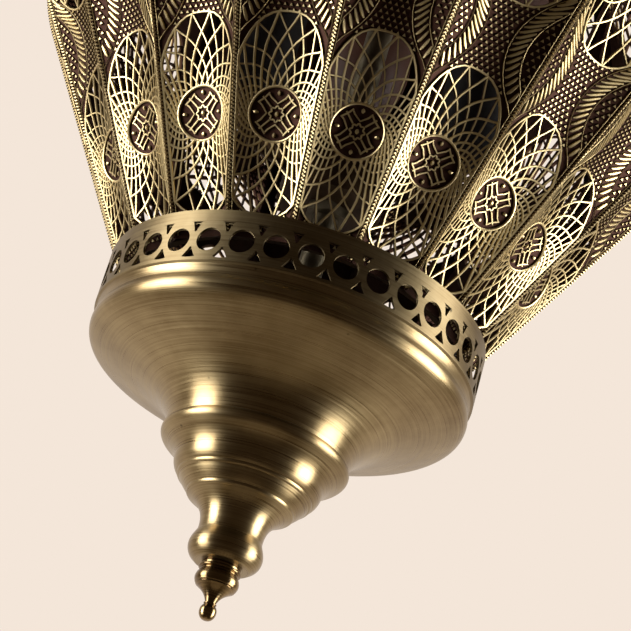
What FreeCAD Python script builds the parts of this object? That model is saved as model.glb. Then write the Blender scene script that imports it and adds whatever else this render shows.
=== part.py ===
"""Hanging lantern: a pierced gallery cap and eighteen brass petals on a centre rod, hung on a chain.

Frame: +Z up, millimetres. The origin is the centre of the two ceiling screws, on the ceiling.
Heights named z inside the lantern count from the ring of gallery holes, and `lamp_z` gives their
height in the frame. Azimuth 0 is the -Y side, and azimuth grows towards +X.
"""
import FreeCAD, Part
import math
import os

V = FreeCAD.Vector
UP = V(0, 0, 1)

# ---- driving dimensions -------------------------------------------------------------------------
SHEET = 0.9                    # brass sheet of the petals and of both caps
GAP = 0.3                      # clearance between curved faces of neighbouring bodies
FIT = 0.05                     # radial clearance of a threaded bore on its rod
OVER = 1.0                     # how far a cutter runs past the face that it cuts

ROD_R = 5.0                    # M10 x 1 threaded lamp tube
ROD_BORE_R = 3.5
ROD_HOLE_R = 5.2               # clearance hole for the tube in sheet parts
NUT_ACROSS = 15.0
NUT_HEIGHT = 4.0

# ceiling end
BRACKET_WIDTH = 20.0
BRACKET_THICK = 2.0
BRACKET_DROP = 16.0            # ceiling to the underside of the web
BRACKET_REACH = 45.0           # centre to the flange's end
BRACKET_LEG_X = 29.0
SCREW_SPACING = 72.0
SCREW_HOLE_R = 2.6
CANOPY_R = 58.0
CANOPY_DEPTH = 36.0
TERMINAL = (13.0, 18.0, 10.0)
TERMINAL_WAYS = 3
TERMINAL_WAY_R = 1.8
TERMINAL_WAY_PITCH = 5.5

# loops and chain
COLLAR_R = 9.0
COLLAR_LENGTH = 14.0
COLLAR_BORE_DEPTH = 10.0
COLLAR_FILLET = 2.5
WIREWAY_R = 3.0                # side hole where a flex enters the collar
WIREWAY_LAND = 0.5             # bore left beyond the side hole
NIPPLE_RISE = 2.0              # tube that shows past the canopy's nut
RING_R = 11.0                  # centre line of a loop's ring
RING_WIRE_R = 2.5
LINK_COUNT = 5
LINK_WIRE_R = 2.0
LINK_HALF_WIDTH = 9.0          # centre line
LINK_LENGTH = 38.0             # centre line, top to bottom

# shade
PETAL_COUNT = 18
HALF_PETAL = math.radians(180.0 / PETAL_COUNT)
PETAL_JOIN = math.radians(0.03)     # half of the solder line between two petals
VALLEY_FOOT = (62.1, 7.0)      # radius and z of the petal's middle at its foot
FLARE = 0.55                   # radius gained per height up the cone
CONE_TOP_Z = 125.0
DOME_R = 100.0                 # arc that turns the cone into the dome
DOME_END_R = 50.0
FLUTE = 0.13                   # depth of a petal's flute over its width
SECTIONS_CONE = 8
SECTIONS_DOME = 10

# bottom cap
BAND_R = 70.9
BAND_TOP_Z = 12.0
BAND_FOOT_Z = -8.0
HOLE_COUNT = 36
HOLE_R = 4.6
HOLE_AZIMUTH = -2.0            # degrees from the front petal's centre line
TRIANGLE_BASE = 5.6
TRIANGLE_HEIGHT = 3.8
TRIANGLE_Z = 5.0
CAP_FOOT_Z = -90.0
CAP_FACE_R = 10.0

# finial
WASHER_R = 7.0
WASHER_HEIGHT = 2.2
SEAT_GAP = 0.05
FINIAL_BORE_Z = -98.4
ROD_FOOT_Z = -98.0

# top of the lantern
TOP_RIM_R = 62.0
TOP_RIM_Z = 275.0
TOP_BAND_HEIGHT = 14.0
TOP_FACE_Z = 340.0
TOP_FACE_R = 12.0
VENT_COUNT = 30
VENT_R = 3.6
SPIDER_Z = 260.0
SPIDER_THICK = 3.0
SPIDER_HUB_R = 14.0
SPIDER_ARM_WIDTH = 10.0
TOP_RING_R = (44.0, 49.0)
TOP_RING_HEIGHT = 7.0
BOTTOM_RING_R = (58.5, 61.0)
BOTTOM_RING_Z = (8.0, 12.0)

# lamps
LAMP_COUNT = 3
LAMP_R = 48.0                  # rod to lamp axis
CLUSTER_R = 20.0
CLUSTER_WALL = 1.5
CLUSTER_Z = (58.0, 76.0)
COVER_THICK = 2.0
ARM_R = 4.0
ARM_Z = 67.0
ARM_BEND_R = 12.0
HOLDER_R = 13.0
HOLDER_Z = (84.0, 124.0)
HOLDER_BORE_R = 7.25
HOLDER_BORE_DEPTH = 25.0
BASE_R = 6.9
BASE_LENGTH = 24.0
BULB_R = 17.5
BULB_LENGTH = 74.0


# ---- places worked out from them ----------------------------------------------------------------
def ring_centre_below(face_z):
    """Height of a loop's ring centre when its collar hangs from the face at face_z."""
    return face_z - COLLAR_LENGTH - RING_R + RING_WIRE_R / 2


CANOPY_FACE_Z = -CANOPY_DEPTH
CANOPY_RING_Z = ring_centre_below(CANOPY_FACE_Z)
RING_TO_LINK = RING_WIRE_R + LINK_WIRE_R + GAP
LINK_TO_LINK = 2 * LINK_WIRE_R + GAP
FIRST_LINK_TOP = CANOPY_RING_Z - RING_R + RING_TO_LINK
LINK_PITCH = LINK_LENGTH - LINK_TO_LINK
LAST_LINK_FOOT = FIRST_LINK_TOP - (LINK_COUNT - 1) * LINK_PITCH - LINK_LENGTH
TOP_LOOP_RING_Z = LAST_LINK_FOOT + RING_TO_LINK - RING_R
TOP_LOOP_FACE_Z = TOP_LOOP_RING_Z - RING_R + RING_WIRE_R / 2 - COLLAR_LENGTH
GALLERY_Z = TOP_LOOP_FACE_Z - NUT_HEIGHT - TOP_FACE_Z


def lamp_z(z):
    """Height in the frame of a height inside the lantern."""
    return GALLERY_Z + z


# ---- helpers ------------------------------------------------------------------------------------
def polar(radius, azimuth, z):
    """Point at an azimuth in degrees, counted from -Y towards +X."""
    a = math.radians(azimuth)
    return V(radius * math.sin(a), -radius * math.cos(a), z)


def turned(shape, degrees):
    """Copy of a shape turned about the lantern's axis."""
    copy = shape.copy()
    copy.rotate(V(0, 0, 0), UP, degrees)
    return copy


def cylinder(radius, low, high, x=0.0, y=0.0):
    return Part.makeCylinder(radius, high - low, V(x, y, low))


def tube(outer, inner, low, high):
    return cylinder(outer, low, high).cut(cylinder(inner, low - OVER, high + OVER))


def wall_cutter(radius, wall_r, azimuth, z, thickness):
    """Round cutter through an upright wall with the given outer radius."""
    start = polar(wall_r - thickness - OVER, azimuth, z)
    return Part.makeCylinder(radius, thickness + 2 * OVER, start, polar(1, azimuth, 0))


def hex_nut(low):
    """Nut on the lamp tube."""
    corner = NUT_ACROSS / math.sqrt(3)
    points = [polar(corner, 60 * i, low) for i in range(7)]
    prism = Part.Face(Part.makePolygon(points)).extrude(V(0, 0, NUT_HEIGHT))
    return prism.cut(cylinder(ROD_R + FIT, low - OVER, low + NUT_HEIGHT + OVER))


def run_edge(points):
    """A straight edge through two points, or a smooth one through more."""
    if len(points) == 2:
        return Part.LineSegment(points[0], points[1]).toShape()
    curve = Part.BSplineCurve()
    curve.interpolate(points)
    return curve.toShape()


def run_normals(run, side):
    """Unit normals of a run of (r, z) points, turned to the given side."""
    normals = []
    for i in range(len(run)):
        before = run[max(i - 1, 0)]
        after = run[min(i + 1, len(run) - 1)]
        dr = after[0] - before[0]
        dz = after[1] - before[1]
        length = math.hypot(dr, dz)
        normals.append((side * dz / length, -side * dr / length))
    return normals


def offset_runs(runs, thickness, side):
    """Runs moved sideways by the sheet's thickness, mitred where two runs meet in a crease."""
    normals = [run_normals(run, side) for run in runs]
    for left, right in zip(normals, normals[1:]):
        nr = left[-1][0] + right[0][0]
        nz = left[-1][1] + right[0][1]
        scale = 2.0 / (nr * nr + nz * nz)
        left[-1] = right[0] = (nr * scale, nz * scale)
    moved = []
    for run, run_n in zip(runs, normals):
        moved.append([(r + thickness * n[0], z + thickness * n[1]) for (r, z), n in zip(run, run_n)])
    return moved


def spun_sheet(runs, thickness, side, base_z):
    """Sheet of revolution: each run of (r, z) points is one smooth stretch of its outer face."""
    inner = offset_runs(runs, thickness, side)
    place = lambda points: [V(r, 0, base_z + z) for r, z in points]
    edges = [run_edge(place(run)) for run in runs]
    edges.append(run_edge([place(runs[-1])[-1], place(inner[-1])[-1]]))
    edges += [run_edge(place(run)) for run in reversed(inner)]
    edges.append(run_edge([place(inner[0])[0], place(runs[0])[0]]))
    face = Part.Face(Part.Wire(Part.__sortEdges__(edges)))
    return face.revolve(V(0, 0, 0), UP, 360)


def spun_solid(runs, base_z):
    """Solid of revolution of an outline given as runs of (r, z) points, closed along the axis."""
    edges = [run_edge([V(r, 0, base_z + z) for r, z in run]) for run in runs]
    first = runs[0][0]
    last = runs[-1][-1]
    edges.append(run_edge([V(last[0], 0, base_z + last[1]), V(first[0], 0, base_z + first[1])]))
    face = Part.Face(Part.Wire(Part.__sortEdges__(edges)))
    return face.revolve(V(0, 0, 0), UP, 360)


def swept_round(path_edges, radius, start, direction):
    """Round bar along a path."""
    circle = Part.Wire(Part.Circle(start, direction, radius).toShape())
    return Part.Wire(path_edges).makePipeShell([circle], True, False)


parts = {}


# ---- ceiling end --------------------------------------------------------------------------------
def canopy_bracket():
    """Pressed steel strap: two flanges against the ceiling and a dropped web for the tube."""
    half = BRACKET_WIDTH / 2
    t = BRACKET_THICK
    reach = BRACKET_REACH - BRACKET_LEG_X + t
    flange = Part.makeBox(reach, BRACKET_WIDTH, t, V(BRACKET_LEG_X - t, -half, -t))
    leg = Part.makeBox(t, BRACKET_WIDTH, BRACKET_DROP, V(BRACKET_LEG_X - t, -half, -BRACKET_DROP))
    web = Part.makeBox(2 * BRACKET_LEG_X, BRACKET_WIDTH, t, V(-BRACKET_LEG_X, -half, -BRACKET_DROP))
    side = flange.fuse(leg).cut(cylinder(SCREW_HOLE_R, -t - OVER, OVER, SCREW_SPACING / 2))
    strap = web.fuse([side, turned(side, 180)]).removeSplitter()
    return strap.cut(cylinder(ROD_HOLE_R, -BRACKET_DROP - OVER, 0))


def ceiling_canopy():
    """Spun cup that hides the bracket, pierced in the middle for the tube."""
    runs = [
        [(CANOPY_R, 0), (CANOPY_R, -4)],
        [(CANOPY_R, -4), (54, -12), (44, -19), (32, -24), (22, -27)],
        [(22, -27), (22.5, -29.5), (19, -32), (14, -33.5), (11.5, -CANOPY_DEPTH)],
        [(11.5, -CANOPY_DEPTH), (ROD_HOLE_R, -CANOPY_DEPTH)],
    ]
    return spun_sheet(runs, SHEET, 1, 0)


def loop(face_z, direction):
    """Cast loop: a collar with a blind threaded bore and a side wireway, and a round ring."""
    end = face_z + direction * COLLAR_LENGTH
    bore_end = face_z + direction * COLLAR_BORE_DEPTH
    collar = cylinder(COLLAR_R, min(face_z, end), max(face_z, end))
    rim = [edge for edge in collar.Edges if edge.Closed and abs(edge.CenterOfMass.z - end) < FIT]
    collar = collar.makeFillet(COLLAR_FILLET, rim)
    ring_z = end + direction * (RING_R - RING_WIRE_R / 2)
    ring = Part.makeTorus(RING_R, RING_WIRE_R, V(0, 0, ring_z), V(0, 1, 0))
    bore = cylinder(ROD_R + FIT, min(face_z, bore_end), max(face_z, bore_end))
    side_z = bore_end - direction * (WIREWAY_R + WIREWAY_LAND)
    wireway = Part.makeCylinder(WIREWAY_R, COLLAR_R + OVER, V(0, 0, side_z), V(0, -1, 0))
    return collar.fuse(ring).cut(bore.fuse(wireway))


def terminal_block():
    """Connector block for the supply, on the bracket's web beside the nut."""
    length, width, height = TERMINAL
    low = V(BRACKET_LEG_X - BRACKET_THICK - length, -width / 2, BRACKET_THICK - BRACKET_DROP)
    block = Part.makeBox(length, width, height, low)
    for i in range(TERMINAL_WAYS):
        across = (i - (TERMINAL_WAYS - 1) / 2) * TERMINAL_WAY_PITCH
        start = V(low.x - OVER, across, low.z + height / 2)
        block = block.cut(Part.makeCylinder(TERMINAL_WAY_R, length + 2 * OVER, start, V(1, 0, 0)))
    return block


parts["canopy_bracket"] = canopy_bracket()
parts["ceiling_canopy"] = ceiling_canopy()
SIDE_HOLE_ROOM = 2 * (WIREWAY_R + WIREWAY_LAND)
WEB_Z = -BRACKET_DROP + BRACKET_THICK
parts["canopy_nipple"] = tube(ROD_R, ROD_BORE_R, CANOPY_FACE_Z - COLLAR_BORE_DEPTH + SIDE_HOLE_ROOM,
                              WEB_Z + NUT_HEIGHT + NIPPLE_RISE)
parts["canopy_nut"] = hex_nut(WEB_Z)
parts["canopy_loop"] = loop(CANOPY_FACE_Z, -1)
parts["terminal_block"] = terminal_block()


# ---- chain --------------------------------------------------------------------------------------
def chain_link(top_z, across_x):
    """Oval link of round wire. Its plane is XZ when across_x is true, and YZ otherwise."""
    side = V(1, 0, 0) if across_x else V(0, 1, 0)
    w = LINK_HALF_WIDTH
    high = top_z - w
    low = top_z - LINK_LENGTH + w
    at = lambda s, z: side * s + V(0, 0, z)
    path = [
        Part.LineSegment(at(w, low), at(w, high)).toShape(),
        Part.Arc(at(w, high), at(0, top_z), at(-w, high)).toShape(),
        Part.LineSegment(at(-w, high), at(-w, low)).toShape(),
        Part.Arc(at(-w, low), at(0, low - w), at(w, low)).toShape(),
    ]
    return swept_round(path, LINK_WIRE_R, at(w, low), UP)


for number in range(LINK_COUNT):
    link_top = FIRST_LINK_TOP - number * LINK_PITCH
    parts["chain_link_%d" % (number + 1)] = chain_link(link_top, number % 2 == 1)


# ---- shade --------------------------------------------------------------------------------------
def valley_line():
    """Points (r, z) and unit normals along a petal's middle: a cone, then a tangent dome."""
    foot_r, foot_z = VALLEY_FOOT
    length = math.hypot(1.0, FLARE)
    tangent = (FLARE / length, 1.0 / length)
    normal = (tangent[1], -tangent[0])
    line = []
    for i in range(SECTIONS_CONE):
        z = foot_z + (CONE_TOP_Z - foot_z) * i / SECTIONS_CONE
        line.append(((foot_r + FLARE * (z - foot_z), z), normal))
    top_r = foot_r + FLARE * (CONE_TOP_Z - foot_z)
    centre = (top_r - DOME_R * normal[0], CONE_TOP_Z - DOME_R * normal[1])
    start = math.atan2(normal[1], normal[0])
    end = math.acos((DOME_END_R - centre[0]) / DOME_R)
    for i in range(SECTIONS_DOME + 1):
        a = start + (end - start) * i / SECTIONS_DOME
        n = (math.cos(a), math.sin(a))
        line.append(((centre[0] + DOME_R * n[0], centre[1] + DOME_R * n[1]), n))
    return line


def petal_section(point, normal, foot_z):
    """Closed cross-section of the front petal, in the plane square to its middle line."""
    half_angle = HALF_PETAL - PETAL_JOIN
    rate = 2 * FLUTE * math.tan(half_angle)
    depth = rate * point[0] / (1 - rate * normal[0])

    def place(out, across):
        r = point[0] + out * normal[0]
        z = point[1] + out * normal[1]
        return V(across * r * math.tan(half_angle), -r, foot_z + z)

    left = place(depth, -1)
    right = place(depth, 1)
    left_in = place(depth - SHEET, -1)
    right_in = place(depth - SHEET, 1)
    return Part.Wire([
        Part.Arc(left, place(0, 0), right).toShape(),
        Part.LineSegment(right, right_in).toShape(),
        Part.Arc(right_in, place(-SHEET, 0), left_in).toShape(),
        Part.LineSegment(left_in, left).toShape(),
    ])


def front_petal():
    sections = [petal_section(point, normal, GALLERY_Z) for point, normal in valley_line()]
    return Part.makeLoft(sections, True, False)


petal = front_petal()
for number in range(PETAL_COUNT):
    parts["petal_%02d" % (number + 1)] = turned(petal, number * 360.0 / PETAL_COUNT)

parts["shade_bottom_ring"] = tube(BOTTOM_RING_R[1], BOTTOM_RING_R[0],
                                  lamp_z(BOTTOM_RING_Z[0]), lamp_z(BOTTOM_RING_Z[1]))
parts["shade_top_ring"] = tube(TOP_RING_R[1], TOP_RING_R[0], lamp_z(SPIDER_Z + SPIDER_THICK),
                               lamp_z(SPIDER_Z + SPIDER_THICK + TOP_RING_HEIGHT))


def top_spider():
    """Three-armed plate that hangs the shade's top ring on the rod."""
    low = lamp_z(SPIDER_Z)
    high = low + SPIDER_THICK
    arm = Part.makeBox(TOP_RING_R[1], SPIDER_ARM_WIDTH, SPIDER_THICK, V(0, -SPIDER_ARM_WIDTH / 2, low))
    arms = [turned(arm, 90 + 120 * i) for i in range(3)]
    plate = cylinder(SPIDER_HUB_R, low, high).fuse(arms)
    plate = plate.common(cylinder(TOP_RING_R[1], low, high)).removeSplitter()
    return plate.cut(cylinder(ROD_HOLE_R, low - OVER, high + OVER))


def top_cap():
    """Spun cap with a vented band, above the petals."""
    band_top = TOP_RIM_Z + TOP_BAND_HEIGHT
    runs = [
        [(TOP_RIM_R, TOP_RIM_Z), (TOP_RIM_R, band_top)],
        [(TOP_RIM_R, band_top), (58, 297), (46, 305), (34, 310), (27, 313)],
        [(27, 313), (28.5, 317), (26, 321), (20, 324)],
        [(20, 324), (13.5, 329), (10.5, 334), (TOP_FACE_R, TOP_FACE_Z)],
        [(TOP_FACE_R, TOP_FACE_Z), (ROD_HOLE_R, TOP_FACE_Z)],
    ]
    cap = spun_sheet(runs, SHEET, -1, GALLERY_Z)
    vent_z = lamp_z(TOP_RIM_Z + TOP_BAND_HEIGHT / 2)
    vents = []
    for i in range(VENT_COUNT):
        vents.append(wall_cutter(VENT_R, TOP_RIM_R, 360.0 * i / VENT_COUNT, vent_z, SHEET))
    return cap.cut(Part.Compound(vents))


parts["top_spider"] = top_spider()
parts["top_cap"] = top_cap()
parts["top_locknut"] = hex_nut(lamp_z(TOP_FACE_Z))
parts["top_loop"] = loop(TOP_LOOP_FACE_Z, 1)
parts["centre_rod"] = tube(ROD_R, ROD_BORE_R, lamp_z(ROD_FOOT_Z),
                           TOP_LOOP_FACE_Z + COLLAR_BORE_DEPTH - SIDE_HOLE_ROOM)
parts["rod_locknuts"] = Part.Compound([
    hex_nut(lamp_z(CLUSTER_Z[0] - NUT_HEIGHT)),
    hex_nut(lamp_z(CLUSTER_Z[1] + COVER_THICK)),
    hex_nut(lamp_z(SPIDER_Z - NUT_HEIGHT)),
    hex_nut(lamp_z(SPIDER_Z + SPIDER_THICK)),
])


# ---- lamps --------------------------------------------------------------------------------------
def cluster_body():
    """Open cup on the rod that joins the three arms."""
    low = lamp_z(CLUSTER_Z[0])
    high = lamp_z(CLUSTER_Z[1])
    hollow = cylinder(CLUSTER_R - CLUSTER_WALL, low + CLUSTER_WALL, high + OVER)
    cup = cylinder(CLUSTER_R, low, high).cut(hollow)
    cup = cup.cut(cylinder(ROD_HOLE_R, low - OVER, low + CLUSTER_WALL + OVER))
    for i in range(LAMP_COUNT):
        cup = cup.cut(wall_cutter(ARM_R, CLUSTER_R, lamp_azimuth(i), lamp_z(ARM_Z), CLUSTER_WALL))
    return cup


def lamp_azimuth(index):
    return 180.0 + index * 360.0 / LAMP_COUNT


def socket_arm():
    """Round arm from the cluster out and up to a lamp holder, at azimuth 0."""
    start = polar(CLUSTER_R - CLUSTER_WALL, 0, lamp_z(ARM_Z))
    bend_in = polar(LAMP_R - ARM_BEND_R, 0, lamp_z(ARM_Z))
    c = ARM_BEND_R * (1 - math.cos(math.radians(45)))
    bend_mid = polar(LAMP_R - c, 0, lamp_z(ARM_Z + c))
    bend_out = polar(LAMP_R, 0, lamp_z(ARM_Z + ARM_BEND_R))
    end = polar(LAMP_R, 0, lamp_z(HOLDER_Z[0]))
    path = [
        Part.LineSegment(start, bend_in).toShape(),
        Part.Arc(bend_in, bend_mid, bend_out).toShape(),
        Part.LineSegment(bend_out, end).toShape(),
    ]
    return swept_round(path, ARM_R - FIT, start, V(0, -1, 0))


def lamp_holder():
    """Candle lamp holder at azimuth 0, with a socket open at the top."""
    holder = cylinder(HOLDER_R, lamp_z(HOLDER_Z[0]), lamp_z(HOLDER_Z[1]), 0, -LAMP_R)
    bore_low = lamp_z(HOLDER_Z[1] - HOLDER_BORE_DEPTH)
    return holder.cut(cylinder(HOLDER_BORE_R, bore_low, lamp_z(HOLDER_Z[1]) + OVER, 0, -LAMP_R))


def bulb_base():
    low = lamp_z(HOLDER_Z[1] - BASE_LENGTH)
    return cylinder(BASE_R, low, lamp_z(HOLDER_Z[1] + GAP), 0, -LAMP_R)


def bulb_glass():
    """Candle-shaped bulb above its base, at azimuth 0."""
    runs = [
        [(0, 0), (BASE_R, 0)],
        [(BASE_R, 0), (12.5, 9), (BULB_R, 28), (13.5, 50), (5, 68), (0, BULB_LENGTH)],
    ]
    glass = spun_solid(runs, lamp_z(HOLDER_Z[1] + GAP))
    glass.translate(V(0, -LAMP_R, 0))
    return glass


parts["cluster_body"] = cluster_body()
parts["cluster_cover"] = tube(CLUSTER_R, ROD_HOLE_R, lamp_z(CLUSTER_Z[1]),
                              lamp_z(CLUSTER_Z[1] + COVER_THICK))
parts["socket_arms"] = Part.Compound([turned(socket_arm(), lamp_azimuth(i)) for i in range(LAMP_COUNT)])
for number in range(LAMP_COUNT):
    turn = lamp_azimuth(number)
    parts["lamp_holder_%d" % (number + 1)] = turned(lamp_holder(), turn)
    parts["bulb_base_%d" % (number + 1)] = turned(bulb_base(), turn)
    parts["bulb_glass_%d" % (number + 1)] = turned(bulb_glass(), turn)


# ---- bottom cap and finial ----------------------------------------------------------------------
def gallery_triangle(azimuth, z, flip):
    """Cutter for one rounded triangle of the gallery, apex towards the ring of holes."""
    height = TRIANGLE_HEIGHT * flip
    base_z = z + height / 2
    corners = [(-TRIANGLE_BASE / 2, base_z), (TRIANGLE_BASE / 2, base_z), (0, z - height / 2)]
    points = [V(x, -BAND_R - OVER, lamp_z(h)) for x, h in corners]
    prism = Part.Face(Part.makePolygon(points + points[:1])).extrude(V(0, SHEET + 2 * OVER, 0))
    return turned(prism, azimuth)


def bottom_cap():
    """Spun bowl with a pierced gallery band, a beaded column and a collar at its foot."""
    runs = [
        [(BAND_R, BAND_TOP_Z), (BAND_R, BAND_FOOT_Z)],
        [(BAND_R, BAND_FOOT_Z), (69.6, -11.5), (70.2, -14.5)],
        [(70.2, -14.5), (70.3, -16.5), (68.4, -18.9)],
        [(68.4, -18.9), (62, -22), (50, -27.2), (40, -33), (34.2, -40), (32.4, -44.6)],
        [(32.4, -44.6), (34.2, -46.5), (30.6, -49.8), (26.2, -55)],
        [(26.2, -55), (26.1, -57.5), (23.9, -60.4)],
        [(23.9, -60.4), (21, -63.6), (18.9, -66.3)],
        [(18.9, -66.3), (15, -69), (11.9, -72.8), (11, -78), (11.2, -80.4)],
        [(11.2, -80.4), (12.7, -85), (CAP_FACE_R, CAP_FOOT_Z)],
        [(CAP_FACE_R, CAP_FOOT_Z), (ROD_HOLE_R, CAP_FOOT_Z)],
    ]
    cap = spun_sheet(runs, SHEET, 1, GALLERY_Z)
    cutters = []
    step = 360.0 / HOLE_COUNT
    for i in range(HOLE_COUNT):
        azimuth = HOLE_AZIMUTH + i * step
        cutters.append(wall_cutter(HOLE_R, BAND_R, azimuth, lamp_z(0), SHEET))
        cutters.append(gallery_triangle(azimuth + step / 2, TRIANGLE_Z, 1))
        cutters.append(gallery_triangle(azimuth + step / 2, -TRIANGLE_Z, -1))
    return cap.cut(Part.Compound(cutters))


def finial():
    """Turned finial: a flange, a ball, a pointed cone and a small end ball, with a blind bore."""
    top = CAP_FOOT_Z - WASHER_HEIGHT - 2 * SEAT_GAP
    runs = [
        [(0, top), (7.7, top)],
        [(7.7, top), (7.7, top - 0.9)],
        [(7.7, top - 0.9), (7.0, top - 1.4)],
        [(7.0, top - 1.4), (8.0, -96.5), (7.5, -98.6)],
        [(7.5, -98.6), (3.6, -101.8), (1.8, -105)],
        [(1.8, -105), (2.4, -105.5)],
        [(2.4, -105.5), (3.1, -108.5), (0, -111.6)],
    ]
    solid = spun_solid(runs, GALLERY_Z)
    return solid.cut(cylinder(ROD_R + FIT, lamp_z(FINIAL_BORE_Z), lamp_z(top) + OVER))


parts["bottom_cap"] = bottom_cap()
parts["finial_washer"] = tube(WASHER_R, ROD_R + FIT, lamp_z(CAP_FOOT_Z - SEAT_GAP - WASHER_HEIGHT),
                              lamp_z(CAP_FOOT_Z - SEAT_GAP))
parts["finial"] = finial()

os.makedirs("parts", exist_ok=True)
for name, shape in parts.items():
    if not shape.isValid():
        raise SystemExit("%s is not a valid shape" % name)
    shape.exportStep("parts/%s.step" % name)
    print("%-20s %10.1f mm3  solids %d" % (name, shape.Volume, len(shape.Solids)))
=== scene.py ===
"""Looks of a hanging lantern: filigree petals, a spun gallery bowl and the fittings that carry them."""
import math

import bmesh
import bpy
import numpy as np
from mathutils import Matrix, Vector


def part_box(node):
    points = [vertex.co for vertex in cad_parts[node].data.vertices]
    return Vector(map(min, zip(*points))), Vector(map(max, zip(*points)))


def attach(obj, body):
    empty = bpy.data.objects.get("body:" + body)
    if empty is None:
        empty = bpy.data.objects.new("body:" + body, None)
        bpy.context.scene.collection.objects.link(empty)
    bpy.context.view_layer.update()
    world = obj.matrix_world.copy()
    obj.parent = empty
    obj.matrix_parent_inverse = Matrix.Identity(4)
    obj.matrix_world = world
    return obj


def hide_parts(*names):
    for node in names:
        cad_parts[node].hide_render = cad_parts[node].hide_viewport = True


bl_info = {
    "name": "Hanging Lantern",
    "version": (1, 0, 0),
    "blender": (4, 5, 0),
    "location": "View3D > Sidebar > Lantern",
    "description": "Builds a filigree lantern around its CAD frame",
    "category": "Object",
}

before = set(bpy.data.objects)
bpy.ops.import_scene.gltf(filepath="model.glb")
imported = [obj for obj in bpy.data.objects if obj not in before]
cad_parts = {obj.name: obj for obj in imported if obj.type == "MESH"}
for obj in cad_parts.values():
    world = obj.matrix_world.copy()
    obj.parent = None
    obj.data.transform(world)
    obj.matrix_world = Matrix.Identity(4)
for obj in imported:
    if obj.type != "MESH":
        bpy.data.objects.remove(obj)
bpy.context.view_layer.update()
MM = 0.001

# ---- places and sizes of the frame, in millimetres ----
BAND_TOP = 12.0                                        # rim of the bottom cap above the hole ring
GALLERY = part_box("bottom_cap")[1].z / MM - BAND_TOP    # height of the ring of gallery holes
BAND_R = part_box("bottom_cap")[1].x / MM
PETALS = len([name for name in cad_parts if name.startswith("petal_")])
HALF_PETAL = math.pi / PETALS

# middle line of a petal, as the CAD has it: a cone, then a tangent arc
FOOT_R = 62.1
FOOT_Z = 7.0
FLARE = 0.55
CONE_TOP_Z = 125.0
DOME_R = 100.0
DOME_END_R = 50.0
FLUTE = 0.13
SLANT = math.hypot(1.0, FLARE)
CONE_LENGTH = (CONE_TOP_Z - FOOT_Z) * SLANT
CONE_NORMAL = (1.0 / SLANT, -FLARE / SLANT)
DOME_CENTRE = (FOOT_R + FLARE * (CONE_TOP_Z - FOOT_Z) - DOME_R * CONE_NORMAL[0],
               CONE_TOP_Z - DOME_R * CONE_NORMAL[1])
DOME_START = math.atan2(CONE_NORMAL[1], CONE_NORMAL[0])
DOME_END = math.acos((DOME_END_R - DOME_CENTRE[0]) / DOME_R)
PETAL_LENGTH = CONE_LENGTH + DOME_R * (DOME_END - DOME_START)


# ---- settings ----
def srgb(code):
    """Linear colour of an sRGB hex value."""
    channels = [int(code[i:i + 2], 16) / 255 for i in (0, 2, 4)]
    linear = [c / 12.92 if c <= 0.04045 else ((c + 0.055) / 1.055) ** 2.4 for c in channels]
    return (*linear, 1.0)


def length_property(name, description, millimetres):
    return bpy.props.FloatProperty(name=name, description=description, default=millimetres * MM, min=0.0,
                                   precision=5, unit="LENGTH")


def colour_property(name, description, code):
    return bpy.props.FloatVectorProperty(name=name, description=description, default=srgb(code), size=4,
                                         min=0.0, max=1.0, subtype="COLOR")


def angle_property(name, description, degrees):
    return bpy.props.FloatProperty(name=name, description=description, default=math.radians(degrees),
                                   subtype="ANGLE", unit="ROTATION")


class LanternPetalSettings(bpy.types.PropertyGroup):
    """Filigree of the petals."""
    lattice_rays: bpy.props.IntProperty(
        name="Lattice rays", description="Lines of each hand round a medallion", default=28, min=8)
    lattice_wire: length_property("Lattice wire", "Radius of a lattice line", 0.47)
    medallion_r: length_property("Medallion", "Radius of a medallion's ring", 9.75)
    feather_pitch: length_property("Feather pitch", "Distance between feather strokes", 2.35)
    bead_pitch: length_property("Bead pitch", "Distance between the field's raised triangles", 2.35)
    rope_pitch: length_property("Rope pitch", "Distance between the ridge rope's turns", 1.35)
    # the relief's colours by height: blackening and painted shade in the recesses, rubbed brass and painted
    # highlight on top
    blackened_and_shaded_recess: colour_property("Recess", "Blackened ground of the filigree", "351F15")
    middle: colour_property("Slope", "Brass on the sides of the relief", "5C4728")
    proud: colour_property("Proud", "Rubbed brass on top of the relief", "BBA87C")


class LanternCapSettings(bpy.types.PropertyGroup):
    """Spun caps and turned fittings."""
    gallery_holes: bpy.props.IntProperty(
        name="Gallery holes", description="Round holes in the bottom cap's band", default=36, min=6)
    hole_r: length_property("Hole radius", "Radius of a gallery hole", 4.6)
    sheet: length_property("Sheet", "Thickness of the brass sheet", 0.8)
    dark: colour_property("Cap, dark lines", "Darker colour of the brushed brass", "725F40")
    light: colour_property("Cap, light lines", "Lighter colour of the brushed brass", "9C8A66")
    finial_dark: colour_property("Finial, dark", "Darker colour of the finial's bronze", "4A3826")
    finial_light: colour_property("Finial, light", "Lighter colour of the finial's bronze", "917B55")


class LanternStageSettings(bpy.types.PropertyGroup):
    """Camera, lights and backdrop."""
    backdrop: colour_property("Backdrop", "Colour of the backdrop", "F4E6D9")
    floor: colour_property("Floor", "Colour of the floor's paint", "E2D6C2")
    front: colour_property("Front", "Unlit front of the room, seen only in reflections", "483B2E")
    side: colour_property("Side", "Half lit sides of the room, seen only in reflections", "7E6C4C")
    softbox_power: bpy.props.FloatProperty(
        name="Softbox power", description="Power of each softbox in the studio", default=27.0, min=0.0,
        unit="POWER")
    azimuth: angle_property("Azimuth", "Camera's turn about the lantern, from -Y towards +X", -1.35)
    elevation: angle_property("Elevation", "Angle from which the camera looks up", 25.47)
    roll: angle_property("Roll", "Camera's roll", 16.34)
    distance: length_property("Distance", "Camera to the middle of the gallery", 886.0)


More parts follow.
